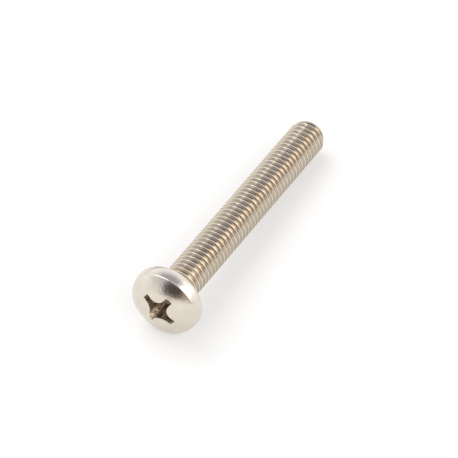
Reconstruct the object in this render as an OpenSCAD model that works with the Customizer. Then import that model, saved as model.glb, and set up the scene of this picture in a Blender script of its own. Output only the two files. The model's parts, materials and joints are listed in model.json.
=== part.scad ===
// Pan head machine screw with a cross recess, turned and thread rolled from one piece of stainless steel.
//
// The screw is drawn upright in its own frame: the underside of the head is at z = 0, the thread runs
// up +Z to the tip and the head hangs below. It is then laid down the way a loose screw comes to rest,
// on the widest circle of its head and on the last full turn of its thread, so that the thread
// points along +X and dips a little. The origin stays at the middle of the head's underside,
// which is where the length of such a screw is measured from.

/* [Thread] */
// Length from the underside of the head to the tip, mm
length = 36.9; // [16:0.1:48]
// Diameter over the crests of the thread, mm
thread_d = 4.78; // [4.4:0.01:5.2]
// Turns of thread in one inch
threads_per_inch = 32; // [26:1:36]
// Angle between the two flanks of the thread, degrees
flank_angle = 60; // [55:1:60]
// Where round the shank the thread's crest starts, degrees
thread_start = 259.1; // [0:0.1:360]

/* [Tip] */
// Length of the tapered end, mm
taper_len = 1.1; // [0.5:0.1:2]
// Diameter of the flat at the very end, mm
end_d = 3.6; // [3:0.1:4.3]

/* [Neck] */
// Diameter of the plain neck under the head, mm
neck_d = 4.2; // [4:0.05:4.35]
// Length of the plain neck, mm
neck_len = 0.5; // [0.4:0.1:1.6]
// Radius of the fillet between neck and head, mm
neck_fillet_r = 0.35; // [0.1:0.05:0.4]

/* [Head] */
// Diameter of the head at its widest, mm
head_d = 9.3; // [8:0.1:11]
// Height of the head from its underside to the top of the crown, mm
head_h = 3.1; // [2.7:0.1:3.6]
// Radius of the domed crown, mm
crown_r = 7.7; // [6.5:0.1:9]
// Radius of the head's rounded side, mm
side_r = 2.4; // [1.8:0.1:2.7]
// Height above the underside at which the head is widest, mm
widest_h = 0.6; // [0.3:0.05:0.9]
// Radius of the edge where the side meets the underside, mm
under_edge_r = 0.25; // [0.1:0.05:0.3]

/* [Cross recess] */
// Span across two opposite wings at the surface of the crown, mm
recess_span = 4.74; // [4:0.05:5.4]
// Width of a wing at the surface of the crown, mm
wing_w = 0.9; // [0.7:0.02:1.1]
// Draft of a wing's side walls, degrees
wing_draft = 2; // [0:0.5:4]
// Slope of a wing's outer end away from the screw's axis, degrees
wing_end_slope = 26.5; // [22:0.5:30]
// Span across the wings at the floor of the recess, mm
floor_span = 2.3; // [1.8:0.1:2.8]
// Extra depth at the middle of the floor, mm
floor_dip = 0.3; // [0.1:0.05:0.5]
// Radius of the rounded corner between two wings, mm
corner_r = 1.3; // [0.8:0.05:1.5]
// Lean of the rounded corners towards the middle of the recess, degrees
corner_lean = 5.75; // [0:0.25:8]
// Turn of the recess round the screw's axis, degrees
recess_turn = 35; // [0:1:90]

/* [Hidden] */
$fn = 96;
steel = [0.74, 0.71, 0.67];
inch = 25.4;
// A cut runs past the surface it opens by this much
overrun = 1;

head_r = head_d / 2;
neck_r = neck_d / 2;
end_r = end_d / 2;
crest_r = thread_d / 2;

// The thread's profile along the axis: a flat crest, a flank, a flat root and the other flank
pitch = inch / threads_per_inch;
crest_flat = pitch / 8;
thread_depth = 0.6 * pitch;
flank_run = thread_depth * tan(flank_angle / 2);
root_flat = pitch - crest_flat - 2 * flank_run;
root_r = crest_r - thread_depth;

// The neck tapers down to just under the root of the thread
neck_taper_len = pitch / 4;
neck_end = neck_len + neck_taper_len;
neck_end_r = root_r - thread_depth / 8;

// The thread as a grid of points: straight columns round the shank, rows that follow the helix
columns = 24;
rows_per_turn = 4;
// The crest rises to its full height over this many turns
runout_turns = 0.75;
// The shank starts inside the head, and the helix where the neck ends
shank_start = -0.3;
first_row = neck_end;
first_crest = first_row + root_flat + flank_run + crest_flat / 2;
start_angle = thread_start + 360 * first_crest / pitch;
turns = ceil((length + pitch - first_row) / pitch);
row_count = rows_per_turn * turns + 1;
shank_end = first_row + (turns + 2) * pitch;

// The tapered end, as a line from the crests down to the flat, and drawn out past the crests
taper_rate = (crest_r - end_r) / taper_len;
blank_r = crest_r + overrun / 2;

// The rounded side of the head, and where its lower edge is rounded off
side_x = head_r - side_r;
edge_x = side_x + sqrt(pow(side_r, 2) - pow(widest_h - under_edge_r, 2)) - under_edge_r;

// The recess hangs from the crown where its wings end
span_r = recess_span / 2;
floor_r = floor_span / 2;
mouth_h = head_h - crown_r + sqrt(pow(crown_r, 2) - pow(span_r, 2));
floor_h = mouth_h - (span_r - floor_r) / tan(wing_end_slope);
corner_at = wing_w / 2 + corner_r;
above_h = head_h + overrun;
above_r = span_r + (above_h - mouth_h) * tan(wing_end_slope);
punch_reach = 2 * recess_span;

// The screw rolls over until its head and the last full turn of its thread both touch the ground
last_turn = length - taper_len - pitch / 2;
rest_tilt = atan((head_r - crest_r) / (last_turn + widest_h));

// Rows alternate between the root and the crest: the two ends of the root flat, then of the crest flat
function row_offset(row) =
    [0, root_flat, root_flat + flank_run, root_flat + flank_run + crest_flat][row % rows_per_turn];
function row_is_crest(row) = row % rows_per_turn >= 2;

// Turns of the helix from its start to a point of the grid
function helix_turns(row, column) = floor(row / rows_per_turn) + column / columns;

// The crest rises out of the root over the run-out
function row_radius(row, column) =
    root_r + (row_is_crest(row) ? thread_depth * min(1, helix_turns(row, column) / runout_turns) : 0);

function row_height(row, column) = first_row + row_offset(row) + pitch * helix_turns(row, column);

function around(r, column, z) =
    let (angle = start_angle + 360 * column / columns)
    [r * cos(angle), r * sin(angle), z];

function ring(r, z) = [for (column = [0 : columns - 1]) around(r, column, z)];

module thread() {
    first_ring = 0;
    grid = columns;
    last_ring = grid + row_count * columns;
    last_column = columns - 1;
    last_row = row_count - 1;

    points = concat(
        ring(root_r, shank_start),
        [for (row = [0 : last_row], column = [0 : last_column])
            around(row_radius(row, column), column, row_height(row, column))],
        ring(root_r, shank_end)
    );

    // Side walls between two columns, from ring to ring
    walls = [for (column = [0 : last_column - 1])
        each concat(
            [[first_ring + column, grid + column, grid + column + 1, first_ring + column + 1]],
            [for (row = [0 : last_row - 1])
                let (a = grid + row * columns + column)
                [a, a + columns, a + columns + 1, a + 1]],
            [let (a = grid + last_row * columns + column)
                [a, last_ring + column, last_ring + column + 1, a + 1]]
        )];

    // The last column meets the first one a turn further on
    seam = [for (row = [0 : last_row - rows_per_turn - 1])
        let (a = grid + row * columns + last_column, b = grid + (row + rows_per_turn) * columns)
        [a, a + columns, b + columns, b]];

    // Fans that close the seam at the start and at the end of the helix
    start_apex = grid + last_column;
    start_rim = concat(
        [first_ring + last_column, first_ring],
        [for (row = [0 : rows_per_turn]) grid + row * columns]
    );
    end_apex = grid + last_row * columns;
    end_rim = concat(
        [for (row = [last_row - rows_per_turn : last_row]) grid + row * columns + last_column],
        [last_ring + last_column, last_ring]
    );
    fans = concat(
        [for (i = [0 : len(start_rim) - 2]) [start_apex, start_rim[i + 1], start_rim[i]]],
        [for (i = [0 : len(end_rim) - 2]) [end_apex, end_rim[i], end_rim[i + 1]]]
    );

    caps = [
        [for (column = [0 : last_column]) first_ring + column],
        [for (column = [last_column : -1 : 0]) last_ring + column]
    ];

    polyhedron(points, concat(walls, seam, fans, caps));
}

// What the threaded rod is cut to: the flat end and the taper behind it
module blank() {
    rotate_extrude() polygon([
        [0, shank_start - overrun],
        [blank_r, shank_start - overrun],
        [blank_r, length - (blank_r - end_r) / taper_rate],
        [end_r, length],
        [0, length]
    ]);
}

module neck() {
    rotate_extrude() {
        polygon([
            [0, shank_start],
            [neck_r, shank_start],
            [neck_r, neck_len],
            [neck_end_r, neck_end],
            [0, neck_end]
        ]);
        difference() {
            translate([neck_r, shank_start]) square([neck_fillet_r, neck_fillet_r - shank_start]);
            translate([neck_r + neck_fillet_r, neck_fillet_r]) circle(neck_fillet_r);
        }
    }
}

// Half of the head's section, with the underside along the x axis and the crown up
module head_section() {
    intersection() {
        translate([0, head_h - crown_r]) circle(crown_r);
        union() {
            translate([side_x, widest_h]) circle(side_r);
            square([side_x, head_h]);
        }
        union() {
            translate([0, under_edge_r]) square([head_r, head_h]);
            square([edge_x, under_edge_r]);
            translate([edge_x, under_edge_r]) circle(under_edge_r);
        }
        square([head_r, head_h]);
    }
}

// A slab across the recess whose side walls draw together as it gets deeper
module wing() {
    intersection_for (side = [-1, 1])
        translate([0, side * wing_w / 2, mouth_h])
            rotate([-side * wing_draft, 0, 0])
                translate([0, -side * punch_reach / 2, 0])
                    cube([2, 1, 2] * punch_reach, center = true);
}

// The widened middle of the recess, with a rounded corner of metal left between each two wings
module recess_core() {
    translate([0, 0, mouth_h]) difference() {
        cube([2 * corner_at, 2 * corner_at, 2 * punch_reach], center = true);
        for (quarter = [0 : 90 : 270])
            rotate(quarter)
                translate([corner_at, corner_at, 0])
                    rotate(a = corner_lean, v = [-1, 1, 0])
                        cylinder(h = 2 * punch_reach + corner_r, r = corner_r, center = true);
    }
}

// The punch that makes the recess, pointing down into the crown
module recess_punch() {
    intersection() {
        rotate_extrude() polygon([
            [0, floor_h - floor_dip],
            [floor_r, floor_h],
            [above_r, above_h],
            [0, above_h]
        ]);
        union() {
            wing();
            rotate(90) wing();
            recess_core();
        }
    }
}

module machine_screw() {
    color(steel)
        rotate([0, 90 + rest_tilt, 0])
            difference() {
                union() {
                    mirror([0, 0, 1]) rotate_extrude() head_section();
                    neck();
                    intersection() {
                        thread();
                        blank();
                    }
                }
                mirror([0, 0, 1]) rotate(recess_turn) recess_punch();
            }
}

machine_screw();
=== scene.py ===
# %% [markdown]
# # A pan head machine screw
#
# This lesson models one stainless steel screw and sets it on a pale floor in soft light. A real screw like
# this one is a single piece of wire: the head is pressed up cold, the cross recess is punched in the same
# blow, and the thread is rolled between two flat dies. Here the thread is wound first, then the head is
# turned and the punch for the recess is built, and at last head and thread are joined and punched, which
# leaves one closed skin.
#
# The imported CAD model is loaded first. It gives the size and the place that the detailed screw has to keep.

# %% Load the frame
import json
import math

import bpy
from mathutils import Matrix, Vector


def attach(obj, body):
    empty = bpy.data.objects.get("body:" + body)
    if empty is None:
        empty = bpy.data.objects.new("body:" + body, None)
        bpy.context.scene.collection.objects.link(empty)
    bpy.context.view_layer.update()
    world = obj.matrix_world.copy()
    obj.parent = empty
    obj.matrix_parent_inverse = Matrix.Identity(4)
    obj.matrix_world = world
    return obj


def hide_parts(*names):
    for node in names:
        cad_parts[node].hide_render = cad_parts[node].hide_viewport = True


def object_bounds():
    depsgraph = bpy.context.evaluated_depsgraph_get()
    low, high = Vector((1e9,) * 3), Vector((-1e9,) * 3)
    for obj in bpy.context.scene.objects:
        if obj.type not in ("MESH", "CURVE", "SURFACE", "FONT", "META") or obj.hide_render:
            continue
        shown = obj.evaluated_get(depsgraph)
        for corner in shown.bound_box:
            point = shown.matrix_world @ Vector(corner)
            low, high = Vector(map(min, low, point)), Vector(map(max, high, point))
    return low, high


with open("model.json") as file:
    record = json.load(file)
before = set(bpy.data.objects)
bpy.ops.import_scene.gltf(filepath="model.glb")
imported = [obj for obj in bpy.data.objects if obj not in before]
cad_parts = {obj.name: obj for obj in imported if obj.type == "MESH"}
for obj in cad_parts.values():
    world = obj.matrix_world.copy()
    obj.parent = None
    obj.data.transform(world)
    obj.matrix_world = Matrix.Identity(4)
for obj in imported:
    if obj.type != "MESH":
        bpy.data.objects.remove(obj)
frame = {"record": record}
cad_low, cad_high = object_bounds()
mounts = {mount["name"]: mount for mount in frame["record"]["mounts"]}
print("CAD box, mm:", [round(side * 1000, 2) for side in cad_high - cad_low])

# %% [markdown]
# ## Sizes
#
# All sizes are in millimetres, and the screw is modelled a thousand times too large, one Blender unit to
# the millimetre. The edit tools weld and cut with tolerances that suit a chair or a house, and on a
# screw of 5 mm they would swallow whole edges. The finished mesh is scaled down once, at the end.
#
# While it is modelled, the screw stands upright: the underside of the head is at z = 0, the thread runs up
# from there, and the head hangs below.

# %% Sizes
LENGTH = 36.9
INCH = 25.4
TURNS_PER_INCH = 32
PITCH = INCH / TURNS_PER_INCH
CREST_R = 4.78 / 2
THREAD_DEPTH = 0.6 * PITCH
ROOT_R = CREST_R - THREAD_DEPTH
CREST_FLAT = PITCH / 8
FLANK_ANGLE = math.radians(60)
FLANK_RUN = THREAD_DEPTH * math.tan(FLANK_ANGLE / 2)
ROOT_FLAT = PITCH - CREST_FLAT - 2 * FLANK_RUN
# Where round the shank the crest starts, in degrees
THREAD_START = 259.1

TAPER_LEN = 1.1
END_R = 3.6 / 2

NECK_R = 4.2 / 2
NECK_LEN = 0.5
NECK_FILLET_R = 0.35
NECK_END = NECK_LEN + PITCH / 4

HEAD_R = 9.3 / 2
HEAD_H = 3.1
CROWN_R = 7.7
SIDE_R = 2.4
WIDEST_H = 0.6
UNDER_EDGE_R = 0.25

RECESS_SPAN = 4.74
WING_W = 0.9
WING_DRAFT = math.radians(2)
WING_END_SLOPE = math.radians(26.5)
FLOOR_SPAN = 2.3
FLOOR_DIP = 0.3
CORNER_R = 1.3
CORNER_LEAN = math.radians(5.75)
RECESS_TURN = math.radians(35)

# Points closer than this are one point
WELD = 0.0005
print("pitch, mm:", round(PITCH, 4), "root radius, mm:", round(ROOT_R, 4))

# %% [markdown]
# ## Select and edit
#
# Operators act on all that is selected, so each step starts by selecting one object alone. Points are
# picked in code by their place, which works only outside edit mode.

# %% Select and edit
def only(piece):
    """Select one object alone."""
    bpy.ops.object.select_all(action="DESELECT")
    piece.select_set(True)
    bpy.context.view_layer.objects.active = piece


def edit(piece, pick=None):
    """Open a piece in edit mode, with all of it selected, or only the points that pick says."""
    only(piece)
    bpy.ops.object.mode_set(mode="EDIT")
    bpy.ops.mesh.select_mode(type="VERT")
    bpy.ops.mesh.select_all(action="DESELECT" if pick else "SELECT")
    if pick:
        bpy.ops.object.mode_set(mode="OBJECT")
        for vertex in piece.data.vertices:
            vertex.select = pick(vertex.co)
        bpy.ops.object.mode_set(mode="EDIT")


def done():
    """Close edit mode."""
    bpy.ops.object.mode_set(mode="OBJECT")

# %% [markdown]
# ## Draw a line and turn it
#
# A profile is drawn as by hand: a plane is merged to a single point, the point is moved to the start of the
# line, and the line is extruded from corner to corner. The Screw modifier then turns the line as a lathe
# would, or winds it up a helix if each turn also rises.

# %% Draw and turn
def draw_line(name, corners):
    """A chain of edges through corners, each given as its distance from the axis and its height."""
    points = [Vector((x, 0, z)) for x, z in corners]
    bpy.ops.object.select_all(action="DESELECT")
    bpy.ops.mesh.primitive_plane_add(size=1)
    line = bpy.context.object
    line.name = name
    edit(line)
    bpy.ops.mesh.merge(type="CENTER")
    bpy.ops.transform.translate(value=points[0])
    for here, there in zip(points, points[1:]):
        bpy.ops.mesh.extrude_region_move(TRANSFORM_OT_translate={"value": there - here})
    done()
    return line


def round_corner(line, corner, reach, segments):
    """Round one corner of a line, starting at a distance of reach from it on both sides."""
    spot = Vector((corner[0], 0, corner[1]))
    edit(line, lambda point: (point - spot).length < WELD)
    bpy.ops.mesh.bevel(offset=reach, segments=segments, affect="VERTICES")
    done()


def turn(line, steps, rise=0.0, turns=1):
    """Sweep a line round the Z axis, and up by rise on each turn."""
    sweep = line.modifiers.new("turn", "SCREW")
    sweep.axis = "Z"
    sweep.steps = sweep.render_steps = steps
    sweep.screw_offset = rise
    sweep.iterations = turns
    only(line)
    bpy.ops.object.modifier_apply(modifier=sweep.name)
    edit(line)
    bpy.ops.mesh.remove_doubles(threshold=WELD)
    bpy.ops.mesh.normals_make_consistent(inside=False)
    done()
    return line

# %% [markdown]
# ## The rolled thread
#
# The real thread is pressed in by dies, so its root is a smooth round valley and its crest is a narrow band
# with soft edges. One pitch of that outline is drawn from valley to valley, its corners are rounded, and
# it is wound up a helix. A displaced cylinder or a stack of rings would be lighter, but rings don't lead
# anywhere: under a light the eye follows the line of a true helix from turn to turn.

# %% Wind the thread
THREAD_STEPS = 72
ROOT_ROUND = 0.48 * ROOT_FLAT
CREST_ROUND = 0.42 * CREST_FLAT
# Turns wound below the start of the thread and past the tip, and cut off again
LEAD_TURNS = 3
TAIL_TURNS = 2
foot = NECK_END + ROOT_FLAT / 2 - LEAD_TURNS * PITCH
first_crest = foot + (LEAD_TURNS + 0.5) * PITCH
thread_turns = math.ceil((LENGTH - foot) / PITCH) + TAIL_TURNS

flank_foot = foot + ROOT_FLAT / 2
crest_foot = flank_foot + FLANK_RUN
crest_top = crest_foot + CREST_FLAT
flank_top = crest_top + FLANK_RUN
corners = [(ROOT_R, foot), (ROOT_R, flank_foot), (CREST_R, crest_foot), (CREST_R, crest_top),
           (ROOT_R, flank_top), (ROOT_R, foot + PITCH)]
thread = draw_line("thread", corners)
for corner in (corners[1], corners[4]):
    round_corner(thread, corner, ROOT_ROUND, segments=3)
for corner in (corners[2], corners[3]):
    round_corner(thread, corner, CREST_ROUND, segments=2)
turn(thread, THREAD_STEPS, PITCH, thread_turns)
print("turns of thread:", thread_turns)

# %% [markdown]
# ## The run-out
#
# Under the head the dies lift out of the metal, so the crest fades in over the first part of a turn. Each
# point is asked how many turns it lies from the start of the thread, and is drawn in toward the root by
# that share. A boolean cut would leave a cliff there instead.

# %% Fade the first crest in
RUNOUT_TURNS = 0.75


def turns_along(point):
    """How many turns a point of the thread lies from the start of its helix."""
    share = math.atan2(point.y, point.x) % math.tau / math.tau
    whole = math.floor((point.z - foot) / PITCH - share + WELD)
    return whole + share - LEAD_TURNS


for vertex in thread.data.vertices:
    radius = vertex.co.xy.length
    risen = min(1, max(0, turns_along(vertex.co) / RUNOUT_TURNS))
    faded = ROOT_R + (radius - ROOT_R) * risen
    vertex.co.xy *= faded / radius

# %% [markdown]
# ## Cut to length
#
# The wound sheet is open and ragged at both ends. Two bisects trim it inside the head and past the tip, and
# fill the cuts. It is then turned so that its crests pass where they do on the CAD model, and what sticks
# out of a turned blank is cut off. That leaves the tapered tip, with the crests of the last turns planed
# down as the real point is. The Manifold solver is used for every cut and join: it is quick on closed
# pieces, and leaves closed pieces.

# %% Cut, join and measure
def combine(piece, tool, operation):
    """Join a piece and a tool, or cut one by the other, and throw the tool away."""
    change = piece.modifiers.new("combine", "BOOLEAN")
    change.operation = operation
    change.solver = "MANIFOLD"
    change.object = tool
    only(piece)
    bpy.ops.object.modifier_apply(modifier=change.name)
    bpy.data.objects.remove(tool)


def report(piece):
    """Print how fine a mesh is, and whether it is closed."""
    edit(piece)
    bpy.ops.mesh.select_all(action="DESELECT")
    bpy.ops.mesh.select_non_manifold()
    done()
    loose = sum(vertex.select for vertex in piece.data.vertices)
    triangles = sum(len(face.vertices) - 2 for face in piece.data.polygons)
    print(f"{piece.name}: {triangles} triangles, {loose} points on open edges")

# %% Trim the thread and taper its tip
SHANK_START = -0.3
# A cut or a tool runs past the surface that it makes by this much
SPARE = 0.6
# How far back the rim of the flat end is rounded
END_ROUND = 0.18


def trim(piece, height, way):
    """Cut off what lies past a height, above it if way is 1 or below it if way is -1, and close the cut."""
    edit(piece)
    bpy.ops.mesh.bisect(plane_co=(0, 0, height), plane_no=(0, 0, way), use_fill=True,
                        clear_outer=True, threshold=WELD)
    done()


trim(thread, SHANK_START, -1)
trim(thread, LENGTH + SPARE, 1)
thread.rotation_euler.z = math.radians(THREAD_START + 360 * first_crest / PITCH)
only(thread)
bpy.ops.object.transform_apply(location=False, rotation=True, scale=False)
report(thread)

taper_rate = (CREST_R - END_R) / TAPER_LEN
blank_r = CREST_R + SPARE
corners = [(0, SHANK_START - SPARE), (blank_r, SHANK_START - SPARE),
           (blank_r, LENGTH - (blank_r - END_R) / taper_rate), (END_R, LENGTH), (0, LENGTH)]
blank = draw_line("blank", corners)
round_corner(blank, corners[3], END_ROUND, segments=4)
turn(blank, 2 * THREAD_STEPS)
combine(thread, blank, "INTERSECT")
report(thread)

# %% [markdown]
# ## The turned head
#
# Half of the head's section is one line: over the domed crown, round the side, along the flat underside,
# through the fillet and up the short plain neck. The crown and the side meet at a ring that shows in the
# photo as a fine bright line, so that corner is eased a little and not smoothed away.

# %% Arcs and where they meet
def arc(centre, radius, start, end, steps):
    """Points along an arc, from one angle to another, in degrees."""
    angles = [math.radians(start + (end - start) * step / steps) for step in range(steps + 1)]
    return [(centre[0] + radius * math.cos(angle), centre[1] + radius * math.sin(angle)) for angle in angles]


def meeting_point(centre_a, radius_a, centre_b, radius_b):
    """Where two circles cross, on the outer side."""
    across = centre_b - centre_a
    along = (across.length_squared + radius_a ** 2 - radius_b ** 2) / (2 * across.length)
    beside = math.sqrt(radius_a ** 2 - along ** 2)
    ahead = across.normalized()
    return centre_a + ahead * along + Vector((-ahead.y, ahead.x)) * beside


def angle_at(centre, point):
    """The direction of a point from a centre, in degrees."""
    return math.degrees(math.atan2(point[1] - centre[1], point[0] - centre[0]))

# %% Turn the head and neck
HEAD_STEPS = 160
CROWN_STEPS, SIDE_STEPS, EDGE_STEPS = 26, 18, 6
# How far back the crease between the crown and the side is eased
CREASE_ROUND = 0.07
NECK_END_R = ROOT_R - THREAD_DEPTH / 8
crown_centre = Vector((0, CROWN_R - HEAD_H))
side_centre = Vector((HEAD_R - SIDE_R, -WIDEST_H))
crease = meeting_point(crown_centre, CROWN_R, side_centre, SIDE_R)
under_z = -UNDER_EDGE_R
under_x = side_centre.x + math.sqrt(SIDE_R ** 2 - (WIDEST_H - UNDER_EDGE_R) ** 2)
edge_centre = (under_x - UNDER_EDGE_R, under_z)
fillet_centre = (NECK_R + NECK_FILLET_R, NECK_FILLET_R)

corners = arc(crown_centre, CROWN_R, -90, angle_at(crown_centre, crease), CROWN_STEPS)
corners += arc(side_centre, SIDE_R, angle_at(side_centre, crease),
               angle_at(side_centre, (under_x, under_z)), SIDE_STEPS)[1:]
corners += arc(edge_centre, UNDER_EDGE_R, 0, 90, EDGE_STEPS)[1:]
corners += arc(fillet_centre, NECK_FILLET_R, 270, 180, EDGE_STEPS)
corners += [(NECK_R, NECK_LEN), (NECK_END_R, NECK_END), (0, NECK_END)]
head = draw_line("head", corners)
round_corner(head, crease, CREASE_ROUND, segments=4)
turn(head, HEAD_STEPS)
report(head)
print("crease ring radius, mm:", round(crease.x, 3))

# %% [markdown]
# ## The punch for the cross recess
#
# The recess is the print of a hardened punch, so the punch is modelled and then cut away. Two slabs cross
# at right angles. Their sides draw together as they go deeper, or the real punch would never come out.
# Between the wings the corners are wide curves, made by four leaning cylinders that are cut from a block,
# and a turned cone gives all four wing ends and the dished floor in one go.

# %% Blocks and wings
span_r = RECESS_SPAN / 2
floor_r = FLOOR_SPAN / 2
mouth_h = HEAD_H - CROWN_R + math.sqrt(CROWN_R ** 2 - span_r ** 2)
floor_h = mouth_h - (span_r - floor_r) / math.tan(WING_END_SLOPE)
dip_h = floor_h - FLOOR_DIP
deep_z = SPARE - dip_h
open_z = -(HEAD_H + SPARE)


def add_block(name, size, low, high):
    """A block round the Z axis, from one height to another."""
    bpy.ops.object.select_all(action="DESELECT")
    bpy.ops.mesh.primitive_cube_add(size=1, location=(0, 0, (low + high) / 2),
                                    scale=(size[0], size[1], high - low))
    block = bpy.context.object
    block.name = name
    bpy.ops.object.transform_apply(location=True, rotation=False, scale=True)
    return block


def half_width(z):
    """Half the width of a wing at a height."""
    return WING_W / 2 - (z + mouth_h) * math.tan(WING_DRAFT)


def add_wing(angle):
    """A slab across the recess, drawn together toward its deep end."""
    wing = add_block("wing", (2 * RECESS_SPAN, 2 * half_width(open_z)), open_z, deep_z)
    edit(wing, lambda point: point.z > deep_z - WELD)
    bpy.ops.transform.resize(value=(1, half_width(deep_z) / half_width(open_z), 1))
    done()
    wing.rotation_euler.z = angle
    only(wing)
    bpy.ops.object.transform_apply(location=False, rotation=True, scale=False)
    return wing

# %% Build the punch
POST_STEPS = 96
CONE_STEPS = 128
corner_at = WING_W / 2 + CORNER_R
core = add_block("core", (2 * corner_at, 2 * corner_at), open_z, deep_z)
for quarter in range(4):
    diagonal = math.pi / 4 + quarter * math.pi / 2
    away = Vector((math.cos(diagonal), math.sin(diagonal), 0))
    post_axis = Vector((0, 0, math.cos(CORNER_LEAN))) - away * math.sin(CORNER_LEAN)
    post_turn = Vector((0, 0, 1)).rotation_difference(post_axis)
    post_middle = away * corner_at * math.sqrt(2) - Vector((0, 0, mouth_h))
    bpy.ops.object.select_all(action="DESELECT")
    bpy.ops.mesh.primitive_cylinder_add(vertices=POST_STEPS, radius=CORNER_R, depth=4 * HEAD_H,
                                        location=post_middle, rotation=post_turn.to_euler())
    combine(core, bpy.context.object, "DIFFERENCE")

punch = core
punch.name = "punch"
for wing_angle in (0, math.pi / 2):
    combine(punch, add_wing(wing_angle), "UNION")

above_r = span_r + (-open_z - mouth_h) * math.tan(WING_END_SLOPE)
corners = [(0, -dip_h), (floor_r, -floor_h), (above_r, open_z), (0, open_z)]
cone = turn(draw_line("cone", corners), CONE_STEPS)
combine(punch, cone, "INTERSECT")
punch.rotation_euler.z = RECESS_TURN
only(punch)
bpy.ops.object.transform_apply(location=False, rotation=True, scale=False)
report(punch)

# %% [markdown]
# ## One closed skin
#
# The real screw is one piece of metal, so the head and the thread become one mesh, and the punch is cut
# out of it. Booleans need closed pieces that overlap a little, which is why the thread was trimmed inside
# the head and not flush with its underside.

# %% Join and punch
screw = head
screw.name = "screw"
screw.data.name = "screw"
combine(screw, thread, "UNION")
combine(screw, punch, "DIFFERENCE")
edit(screw)
bpy.ops.mesh.remove_doubles(threshold=WELD)
bpy.ops.mesh.normals_make_consistent(inside=False)
done()
report(screw)

# %% [markdown]
# ## Where shade is painted
#
# The steel isn't given the same colour all over. The crests and the head keep the bare colour of the steel,
# the grooves of the thread get a darker, browner colour that is painted shade, and the recess gets a still
# darker painted shade and stays as coarse as the punch left it. Each face gets a number for that: 0 for the
# bare steel, 1 for the shaded grooves and 2 inside the recess. Faces hold it and not points, because a flank
# is one face wide: between points the shade would fade over the whole flank, and the crests would lose their
# thin bright line.

# %% Mark the faces
# Depths under the crests where the painted shade starts and where it is full, and under the crown for the
# recess
SHADE_START_DEPTH = 0.03
SHADE_FULL_DEPTH = 0.08
PUNCHED_DEPTH = 0.01


def in_recess(point):
    """Whether a point lies inside the recess: below the crown's sphere and near its middle."""
    below = CROWN_R - (point - Vector((0, 0, crown_centre.y))).length
    return below > PUNCHED_DEPTH and point.xy.length < span_r and point.z < 0


def painted_shade_at(point):
    """How much painted shade a point of the thread gets, by its depth under the crests."""
    if point.z < NECK_LEN:
        return 0.0
    share = (CREST_R - point.xy.length - SHADE_START_DEPTH) / (SHADE_FULL_DEPTH - SHADE_START_DEPTH)
    return min(1.0, max(0.0, share))


# Painted shade: 1 darkens the grooves of the thread, 2 darkens the recess, 0 leaves the steel bare
painted_shade = screw.data.attributes.new("painted_shade", "FLOAT", "FACE")
for face in screw.data.polygons:
    painted_shade.data[face.index].value = 2.0 if in_recess(face.center) else painted_shade_at(face.center)
print("faces in the recess:", sum(mark.value == 2.0 for mark in painted_shade.data))

# %% [markdown]
# ## Into its place
#
# The mesh is scaled down to metres and laid down by the direction that the record gives for the underside
# of the head, so nothing here is fitted by eye. Smooth shading by angle keeps the crown, flanks and roots
# soft, and the recess and the planed crests crisp.

# %% Scale down and place
METRES = 0.001
SMOOTH_ANGLE = math.radians(26)
axis = Vector(mounts["bearing_face"]["axis"])
screw.rotation_mode = "QUATERNION"
screw.rotation_quaternion = Vector((0, 0, 1)).rotation_difference(axis)
screw.location = Vector(mounts["bearing_face"]["pos_m"])
screw.scale = (METRES, METRES, METRES)
only(screw)
bpy.ops.object.transform_apply(location=True, rotation=True, scale=True)
screw.rotation_mode = "XYZ"
bpy.ops.object.shade_smooth_by_angle(angle=SMOOTH_ANGLE)

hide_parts("machine_screw")
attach(screw, "root")

# %% [markdown]
# ## Stainless steel
#
# Tumbled stainless steel is a soft mirror with a warm grey tint. Light that bounces more than once inside
# a groove takes that tint each time, which is why the deep flanks look golden. The material starts as a
# plain mirror. All its patterns are noise on the screw's own coordinates, so they stay on the steel when
# the screw is moved.

# %% Patterns for the metal
# Most of a noise lies between these two values
NOISE_LOW, NOISE_HIGH = 0.3, 0.7
steel = bpy.data.materials.new("tumbled_stainless_steel")
steel.use_nodes = True
nodes, links = steel.node_tree.nodes, steel.node_tree.links
metal = nodes["Principled BSDF"]
metal.inputs["Metallic"].default_value = 1.0
place = nodes.new("ShaderNodeTexCoord")


def noise(scale, detail, stretch=(1, 1, 1)):
    """Noise on the screw's own coordinates. The scale is in bumps to the metre."""
    pattern = nodes.new("ShaderNodeTexNoise")
    pattern.inputs["Scale"].default_value = scale
    pattern.inputs["Detail"].default_value = detail
    stretched = nodes.new("ShaderNodeVectorMath")
    stretched.operation = "MULTIPLY"
    stretched.inputs[1].default_value = stretch
    links.new(place.outputs["Object"], stretched.inputs[0])
    links.new(stretched.outputs["Vector"], pattern.inputs["Vector"])
    return pattern


def spread(pattern, low, high):
    """Turn the middle of a noise into a range of values."""
    span = nodes.new("ShaderNodeMapRange")
    span.inputs["From Min"].default_value = NOISE_LOW
    span.inputs["From Max"].default_value = NOISE_HIGH
    span.inputs["To Min"].default_value = low
    span.inputs["To Max"].default_value = high
    links.new(pattern.outputs["Fac"], span.inputs["Value"])
    return span.outputs["Result"]

# %% [markdown]
# ## Mix and bump
#
# Three more small tools build the rest of the material: a mix of two colours, a step of arithmetic and a
# bump. Each makes one node and hands back its output, so that they can be put one inside the other.

# %% Mix and bump
def blend(factor, low, high):
    """Mix two colours by a value."""
    mix = nodes.new("ShaderNodeMix")
    mix.data_type = "RGBA"
    for socket, colour in (("A", low), ("B", high)):
        if isinstance(colour, tuple):
            mix.inputs[socket].default_value = (*colour, 1)
        else:
            links.new(colour, mix.inputs[socket])
    links.new(factor, mix.inputs["Factor"])
    return mix.outputs["Result"]


def calculate(operation, value, other, added=0.0, clamp=False):
    """One step of arithmetic on a value."""
    step = nodes.new("ShaderNodeMath")
    step.operation = operation
    step.use_clamp = clamp
    links.new(value, step.inputs[0])
    step.inputs[1].default_value = other
    step.inputs[2].default_value = added
    return step.outputs["Value"]


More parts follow.
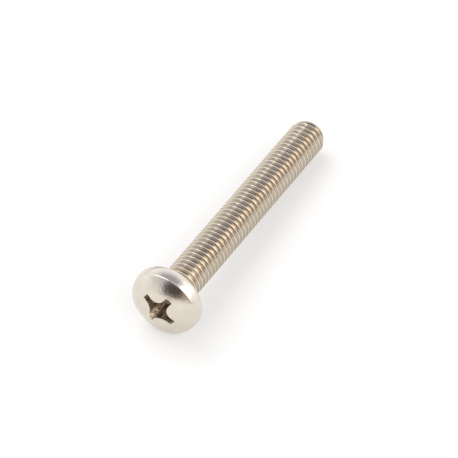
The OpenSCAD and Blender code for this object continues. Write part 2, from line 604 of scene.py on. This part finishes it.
def bump(height, strength, distance, under=None):
    """Raise the surface by a pattern, by up to a distance in metres, over a coarser bump if there is one."""
    relief = nodes.new("ShaderNodeBump")
    if isinstance(strength, float):
        relief.inputs["Strength"].default_value = strength
    else:
        links.new(strength, relief.inputs["Strength"])
    relief.inputs["Distance"].default_value = distance
    links.new(height, relief.inputs["Height"])
    if under:
        links.new(under, relief.inputs["Normal"])
    return relief.outputs["Normal"]

# %% [markdown]
# ## Three colours of one metal
#
# The painted shade of the grooves and the darker painted shade of the recess are laid over the bare steel by
# the number that each face holds. Each of the three goes from a darker to a lighter colour: in soft blotches
# of a millimetre or so outside, and in strong streaks inside the recess, where the punch has drawn the metal.
# For the streaks the noise is stretched along the screw, and its range runs past both ends of the mix, so
# that more of it is fully dark or fully light.

# %% Colour
BLOTCH_SCALE = 700
STREAK_SCALE = 4500
STREAK_STRETCH = (0.2, 1, 1)
STREAK_RANGE = (-0.35, 1.35)
BARE_STEEL = ((0.680, 0.620, 0.530), (0.755, 0.697, 0.620))
# Painted shade: the darker, browner colour of the thread's grooves
GROOVE_SHADE = ((0.490, 0.413, 0.320), (0.525, 0.447, 0.352))
# Painted shade inside the recess, streaked from dark to light by the punch's marks
RECESS_SHADE_AND_STREAKS = ((0.225, 0.152, 0.098), (0.80, 0.690, 0.560))

# Which faces get painted shade, read from the mesh
shade_marks = nodes.new("ShaderNodeAttribute")
shade_marks.attribute_name = "painted_shade"
blotches = spread(noise(BLOTCH_SCALE, detail=4), 0, 1)
streaks = noise(STREAK_SCALE, detail=3, stretch=STREAK_STRETCH)
in_groove = calculate("MINIMUM", shade_marks.outputs["Fac"], 1.0)
in_punch = calculate("SUBTRACT", shade_marks.outputs["Fac"], 1.0, clamp=True)
outside = blend(in_groove, blend(blotches, *BARE_STEEL), blend(blotches, *GROOVE_SHADE))
inside = blend(spread(streaks, *STREAK_RANGE), *RECESS_SHADE_AND_STREAKS)
links.new(blend(in_punch, outside, inside), metal.inputs["Base Color"])

# %% [markdown]
# ## Sheen and grain
#
# Scuffs of a fifth of a millimetre vary the sheen, which is much duller inside the recess. The grain has
# three layers: the shallow dents of tumbling, which the dies have mostly ironed out on the thread, the
# scores of the punch inside the recess, and a very fine skin over everything. A bump tilts the shading and
# moves nothing, which is enough for marks that are a fiftieth of a millimetre deep.

# %% Roughness and bump
SCUFF_SCALE = 5200
SHEEN = (0.17, 0.22)
PUNCHED_SHEEN = (0.40, 0.54)
DENT_SCALE, DENT_HEIGHT = 3200, 0.000018
SCORE_HEIGHT = 0.00002
SKIN_SCALE, SKIN_HEIGHT, SKIN_STRENGTH = 26000, 0.000004, 0.08
DENTS_ON_THREAD = 0.25

scuffs = noise(SCUFF_SCALE, detail=3)
softness = nodes.new("ShaderNodeMix")
softness.data_type = "FLOAT"
links.new(in_punch, softness.inputs["Factor"])
links.new(spread(scuffs, *SHEEN), softness.inputs["A"])
links.new(spread(scuffs, *PUNCHED_SHEEN), softness.inputs["B"])
links.new(softness.outputs["Result"], metal.inputs["Roughness"])

along = nodes.new("ShaderNodeSeparateXYZ")
links.new(place.outputs["Object"], along.inputs["Vector"])
on_head = calculate("LESS_THAN", along.outputs["X"], 0.0)
dented = calculate("MULTIPLY_ADD", on_head, 1 - DENTS_ON_THREAD, added=DENTS_ON_THREAD)
dents = bump(noise(DENT_SCALE, detail=2).outputs["Fac"], dented, DENT_HEIGHT)
scores = bump(streaks.outputs["Fac"], in_punch, SCORE_HEIGHT, dents)
grain = bump(noise(SKIN_SCALE, detail=2).outputs["Fac"], SKIN_STRENGTH, SKIN_HEIGHT, scores)
links.new(grain, metal.inputs["Normal"])

screw.data.materials.clear()
screw.data.materials.append(steel)

# %% [markdown]
# ## The floor
#
# The photo is a plain packshot on white paper, lit until the paper is almost pure white. With lights alone
# that would burn out the steel too. So part of the white is the paper's own glow, and only the rest is
# light that the screw can shade, which leaves the faint soft shadow of the photo.

# %% The floor
PAPER_SIZE = 3.0
PAPER_COLOUR = (0.36, 0.357, 0.352, 1)
# The paper's glow is painted light: it is emission, though the paper is no lamp
PAINTED_GLOW_COLOUR = (1.0, 0.99, 0.97, 1)
PAINTED_GLOW = 0.48
floor_z = cad_low.z
bpy.ops.object.select_all(action="DESELECT")
bpy.ops.mesh.primitive_plane_add(size=PAPER_SIZE, location=(0, 0, floor_z))
bpy.ops.object.transform_apply(location=True, rotation=False, scale=False)
floor = bpy.context.object
floor.name = "floor"
paper = bpy.data.materials.new("white_paper")
paper.use_nodes = True
sheet = paper.node_tree.nodes["Principled BSDF"]
sheet.inputs["Base Color"].default_value = PAPER_COLOUR
sheet.inputs["Roughness"].default_value = 0.9
sheet.inputs["Emission Color"].default_value = PAINTED_GLOW_COLOUR
sheet.inputs["Emission Strength"].default_value = PAINTED_GLOW
floor.data.materials.append(paper)

# %% [markdown]
# ## Soft lights
#
# Polished steel shows what is around it more than its own colour. So each light was placed by asking which
# way a pixel of the photo looks after it has bounced off the screw. The box on the right is the white side
# of the head, the one in front and the one in the gap beside it make the deep flanks golden, the long one
# on the left is the fine line along the crease, and a weak strip is the sheen on the upper flanks. The
# last box only lights the paper and is left out of mirror images. It stands where the light must come from
# to cast the photo's faint shadow toward the lower right.

# %% Place the lights
# Each light: azimuth and elevation in degrees, width and height in metres, brightness and colour
LIGHTS = {
    "right_box": (39, 30, 0.24, 0.44, 0.45, (0.97, 0.99, 1.0)),
    "front_box": (-23, 42, 0.30, 0.32, 1.8, (0.99, 1.0, 0.96)),
    "gap_box": (8, 36, 0.24, 0.42, 0.4, (1.0, 0.98, 0.96)),
    "left_box": (-137, 48, 0.50, 0.20, 1.7, (1.0, 0.99, 0.97)),
    "strip_light": (-84, 50, 0.50, 0.06, 0.6, (1.0, 0.99, 1.0)),
    "shadow_box": (160, 50, 0.50, 0.50, 2.6, (1.0, 1.0, 1.0)),
}
LIGHT_DISTANCE = 0.6
middle = Vector((0.0181, 0.0017, floor_z))


def direction(azimuth, elevation):
    """The way from the screw toward an azimuth and an elevation, in degrees. Azimuth 0 is toward -Y."""
    round_by, up_by = math.radians(azimuth), math.radians(elevation)
    return Vector((math.sin(round_by) * math.cos(up_by),
                   -math.cos(round_by) * math.cos(up_by),
                   math.sin(up_by)))


def softbox(name, azimuth, elevation, width, height, brightness, colour):
    """A soft rectangle that faces the screw. Its brightness is its energy over four times its area."""
    light = bpy.data.lights.new(name, "AREA")
    light.shape = "RECTANGLE"
    light.size, light.size_y = width, height
    light.energy = 4 * width * height * brightness
    light.color = colour
    box = bpy.data.objects.new(name, light)
    bpy.context.scene.collection.objects.link(box)
    box.location = middle + direction(azimuth, elevation) * LIGHT_DISTANCE
    box.rotation_mode = "QUATERNION"
    box.rotation_quaternion = (-direction(azimuth, elevation)).to_track_quat("-Z", "Y")
    return box


boxes = {name: softbox(name, *values) for name, values in LIGHTS.items()}
boxes["shadow_box"].visible_glossy = False
print("lights:", len(boxes))

# %% [markdown]
# ## The room
#
# Behind the lights the room is brightest around the table and falls off toward the ceiling. The dim
# ceiling is the grey band on the upper side of the head. A ramp over the angle from the dimmest spot is
# enough.

# %% Build the room
DIM_SPOT = direction(-100, 78)
# Colours of the room at some angles from the dimmest spot, in degrees
ROOM = [
    (60, (1.18, 1.19, 1.22)),
    (45, (0.88, 0.90, 0.97)),
    (36, (0.62, 0.64, 0.70)),
    (24, (0.46, 0.46, 0.50)),
]
world = bpy.data.worlds.new("room")
bpy.context.scene.world = world
world.use_nodes = True
air = world.node_tree
look = air.nodes.new("ShaderNodeTexCoord")
toward = air.nodes.new("ShaderNodeVectorMath")
toward.operation = "DOT_PRODUCT"
toward.inputs[1].default_value = DIM_SPOT
air.links.new(look.outputs["Generated"], toward.inputs[0])
ramp = air.nodes.new("ShaderNodeValToRGB")
while len(ramp.color_ramp.elements) < len(ROOM):
    ramp.color_ramp.elements.new(0.5)
for stop, (degrees, colour) in zip(ramp.color_ramp.elements, ROOM):
    stop.position = math.cos(math.radians(degrees))
    stop.color = (*colour, 1)
air.links.new(toward.outputs["Value"], ramp.inputs["Fac"])
sky = ramp.outputs["Color"]

# %% [markdown]
# ## Bright and dark parts of the room
#
# The room is dark on the camera's side, and the crown mirrors that as a dark spot and the top of the thread
# as dark flanks. Other parts glow with the light of the boxes. Each is an oval patch with a soft edge that
# multiplies the brightness of the room. The formula lays each patch a second time on the opposite side of
# the room, where the floor hides most of it. Cards with hard edges were tried first, and showed in the
# crown as rectangles.

# %% Paint the patches
# Each patch: azimuth, elevation, half its width and half its height in degrees, softness and colour
PATCHES = [
    (-23, 40, 28, 26, 0.50, (1.65, 1.64, 1.62)),
    (39, 32, 28, 32, 0.50, (1.02, 1.025, 1.05)),
    (-89, 11, 20, 19, 0.30, (0.07, 0.06, 0.06)),
    (-58, 10, 27, 26, 0.40, (0.48, 0.385, 0.315)),
    (-120, 27, 30, 24, 0.50, (0.66, 0.66, 0.66)),
    (170, 2, 22, 15, 0.50, (0.84, 0.84, 0.84)),
    (-152, 14, 20, 20, 0.50, (1.14, 1.14, 1.13)),
]


def lay_patch(sky, azimuth, elevation, half_width, half_height, softness, colour):
    """Multiply an oval patch of the room by a colour, with a soft edge. All angles are in degrees."""
    round_by, up_by = math.radians(azimuth), math.radians(elevation)
    sideways = Vector((math.cos(round_by), math.sin(round_by), 0)) / math.sin(math.radians(half_width))
    upward = Vector((-math.sin(round_by) * math.sin(up_by),
                     math.cos(round_by) * math.sin(up_by),
                     math.cos(up_by)))
    upward /= math.sin(math.radians(half_height))
    offset = air.nodes.new("ShaderNodeCombineXYZ")
    for socket, way in (("X", sideways), ("Y", upward)):
        across = air.nodes.new("ShaderNodeVectorMath")
        across.operation = "DOT_PRODUCT"
        across.inputs[1].default_value = way
        air.links.new(look.outputs["Generated"], across.inputs[0])
        air.links.new(across.outputs["Value"], offset.inputs[socket])
    away = air.nodes.new("ShaderNodeVectorMath")
    away.operation = "LENGTH"
    air.links.new(offset.outputs["Vector"], away.inputs[0])
    edge = air.nodes.new("ShaderNodeMapRange")
    edge.interpolation_type = "SMOOTHSTEP"
    edge.inputs["From Min"].default_value = 1 + softness
    edge.inputs["From Max"].default_value = 1 - softness
    air.links.new(away.outputs["Value"], edge.inputs["Value"])
    patch = air.nodes.new("ShaderNodeMix")
    patch.data_type = "RGBA"
    patch.blend_type = "MULTIPLY"
    patch.inputs["B"].default_value = (*colour, 1)
    air.links.new(edge.outputs["Result"], patch.inputs["Factor"])
    air.links.new(sky, patch.inputs["A"])
    return patch.outputs["Result"]


for patch in PATCHES:
    sky = lay_patch(sky, *patch)
air.links.new(sky, air.nodes["Background"].inputs["Color"])
air.nodes["Background"].inputs["Strength"].default_value = 1.0

# %% [markdown]
# ## A dark reflection
#
# On the camera's side the low flanks mirror a darker place outside the picture. A brown plane just above the
# floor paints that dark reflection, and is left out of everything except mirror images.

# %% Lay the cloth
CARD_SIZE = 1.2
CARD_AZIMUTH = -50
CARD_START = 0.09
CARD_LIFT = 0.0005
card_middle = direction(CARD_AZIMUTH, 0) * (CARD_START + CARD_SIZE / 2)
card_middle.z = floor_z + CARD_LIFT
bpy.ops.object.select_all(action="DESELECT")
bpy.ops.mesh.primitive_plane_add(size=CARD_SIZE, location=card_middle,
                                 rotation=(0, 0, math.radians(CARD_AZIMUTH)))
bpy.ops.object.transform_apply(location=True, rotation=True, scale=False)
dark_reflection_card = bpy.context.object
dark_reflection_card.name = "dark_reflection_card"
dark_reflection = bpy.data.materials.new("dark_reflection_sheet")
dark_reflection.use_nodes = True
dark_sheet_surface = dark_reflection.node_tree.nodes["Principled BSDF"]
# Painted reflection: a dark brown sheet that shows only in mirror images
dark_sheet_surface.inputs["Base Color"].default_value = (0.22, 0.18, 0.15, 1)
dark_sheet_surface.inputs["Roughness"].default_value = 1.0
dark_reflection_card.data.materials.append(dark_reflection)
dark_reflection_card.visible_camera = False
dark_reflection_card.visible_diffuse = False
dark_reflection_card.visible_shadow = False

# %% [markdown]
# ## The camera
#
# The place of the camera was fitted together with the proportions of the screw, to the outline of the head
# and to the crests of the thread in the photo. A long lens half a metre away gives the same mild
# perspective.

# %% Set the camera
VIEW_AZIMUTH = -61.137
VIEW_ELEVATION = 43.9
VIEW_DISTANCE = 0.49676
LENS_MM = 308.7
SENSOR_MM = 36
camera_data = bpy.data.cameras.new("camera")
camera_data.lens = LENS_MM
camera_data.sensor_width = SENSOR_MM
camera_data.clip_start = 0.01
camera_data.clip_end = 20
camera = bpy.data.objects.new("camera", camera_data)
bpy.context.scene.collection.objects.link(camera)
aim = Vector((0.01809, 0.001735, -0.004576))
camera.location = aim + direction(VIEW_AZIMUTH, VIEW_ELEVATION) * VIEW_DISTANCE
camera.rotation_mode = "QUATERNION"
camera.rotation_quaternion = (-direction(VIEW_AZIMUTH, VIEW_ELEVATION)).to_track_quat("-Z", "Y")
bpy.context.scene.camera = camera
bpy.context.scene.view_settings.view_transform = "Standard"
bpy.context.scene.view_settings.look = "None"
